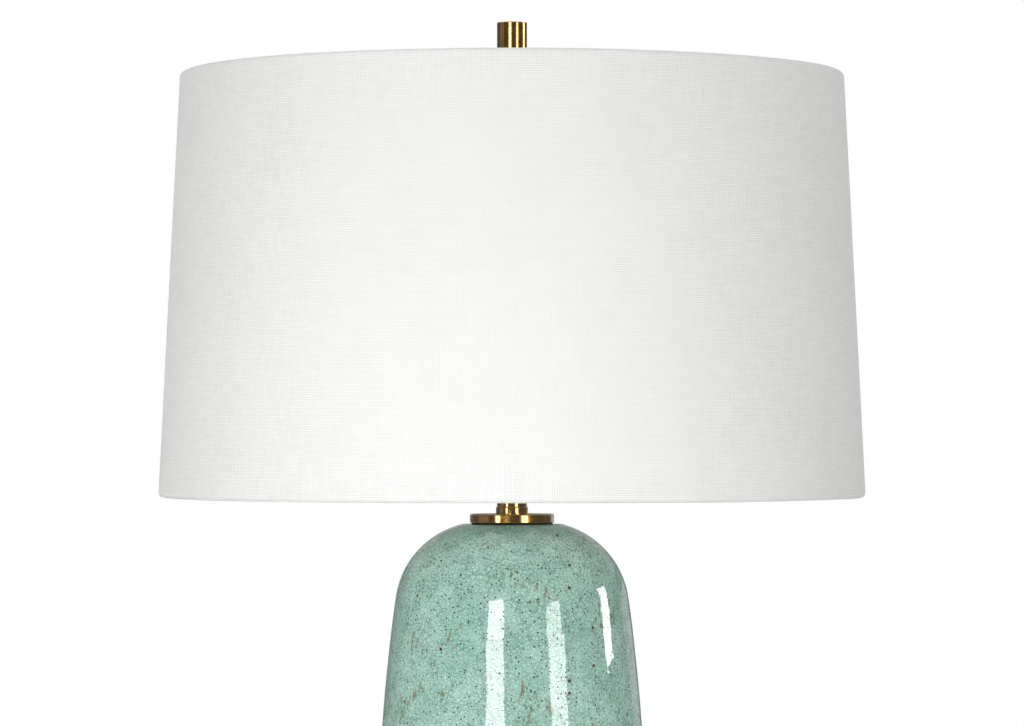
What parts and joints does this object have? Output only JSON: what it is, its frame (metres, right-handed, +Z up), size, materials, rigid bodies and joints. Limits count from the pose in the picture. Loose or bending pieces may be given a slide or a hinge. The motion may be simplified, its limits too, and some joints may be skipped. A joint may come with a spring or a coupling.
{
  "type": "ginger jar lamp",
  "caption": "Table lamp: crackle glazed ceramic jar on a brass foot, with brass cap and neck, harp, bulb, rotary switch and a white linen drum shade under a brass finial.",
  "frame": {"origin": "centre of the felt's underside, on the surface that the lamp stands on", "axes": "+Z up along the lamp's axis, -Y to the front where the switch knob points, +Y to the rear where the cord comes out, +X to the viewer's right"},
  "size_m": [0.4317, 0.4316, 0.6881],
  "materials": {
    "felt": "wool felt, dark",
    "antique_brass": "satin lacquered, dark olive brown",
    "cast_iron": "as cast",
    "zinc_steel": "zinc plated",
    "plated_wire": "brass plated",
    "bushing_plastic": "moulded nylon",
    "rubber": "cut sheet",
    "crackle_glaze": "glossy crackle glaze with iron specks",
    "fibre": "vulcanised fibre",
    "phenolic": "moulded",
    "knob_plastic": "moulded, fluted",
    "contact_brass": "bright",
    "bulb_aluminium": "rolled thread",
    "bulb_black_glass": "opaque",
    "bulb_frosted": "white frosted",
    "linen": "plain woven linen, white",
    "shade_backing": "white styrene",
    "white_wire": "white powder coat"
  },
  "bodies": {
    "base": {"felt_pad": "felt", "lamp_foot": "antique_brass", "foot_weight": "cast_iron", "cord_bushing": "bushing_plastic", "foot_washer": "zinc_steel", "foot_nut": "zinc_steel", "threaded_rod": "zinc_steel", "foot_gasket": "rubber", "ginger_jar": "crackle_glaze", "cap_gasket": "rubber", "vase_cap": "antique_brass", "neck_collar": "antique_brass", "neck_tube": "antique_brass", "harp_saddle": "plated_wire", "saddle_nut": "antique_brass", "holder_cap": "antique_brass", "holder_shell": "antique_brass", "holder_liner": "fibre", "switch_body": "phenolic", "terminal_screws": "contact_brass", "screw_shell": "contact_brass", "centre_contact": "contact_brass", "hub_set_screw": "zinc_steel"},
    "switch": {"switch_knob": "knob_plastic", "switch_shaft": "zinc_steel"},
    "bulb": {"bulb_glass": "bulb_frosted", "bulb_cap": "bulb_aluminium", "bulb_insulator": "bulb_black_glass", "bulb_contact": "contact_brass"},
    "harp": {"harp": "plated_wire"},
    "stud": {"swivel_stud": "plated_wire"},
    "sleeve_left": {"harp_sleeve_left": "plated_wire"},
    "sleeve_right": {"harp_sleeve_right": "plated_wire"},
    "shade": {"shade_linen": "linen", "shade_backing": "shade_backing", "shade_top_ring": "white_wire", "shade_bottom_ring": "white_wire", "shade_spider": "white_wire"},
    "finial": {"finial": "antique_brass"}
  },
  "joints": [
    {"name": "switch_turn", "type": "hinge", "parent": "base", "child": "switch", "pos_m": [0, -0.02, 0.44927], "axis": [0, -1, 0], "continuous": true},
    {"name": "bulb_turn", "type": "hinge", "parent": "base", "child": "bulb", "pos_m": [0, 0, 0.469], "axis": [0, 0, 1], "continuous": true},
    {"name": "harp_lift", "type": "slide", "parent": "base", "child": "harp", "axis": [0, 0, 1], "range_m": [0, 0.15]},
    {"name": "stud_swivel", "type": "hinge", "parent": "harp", "child": "stud", "pos_m": [0, 0, 0.639], "axis": [0, 0, 1], "continuous": true},
    {"name": "shade_lift", "type": "slide", "parent": "stud", "child": "shade", "axis": [0, 0, 1], "range_m": [0, 0.28]},
    {"name": "finial_turn", "type": "hinge", "parent": "shade", "child": "finial", "pos_m": [0, 0, 0.659], "axis": [0, 0, 1], "continuous": true},
    {"name": "sleeve_left_lift", "type": "slide", "parent": "harp", "child": "sleeve_left", "axis": [0, 0, 1], "range_m": [0, 0.018]},
    {"name": "sleeve_right_lift", "type": "slide", "parent": "harp", "child": "sleeve_right", "axis": [0, 0, 1], "range_m": [0, 0.018]}
  ]
}
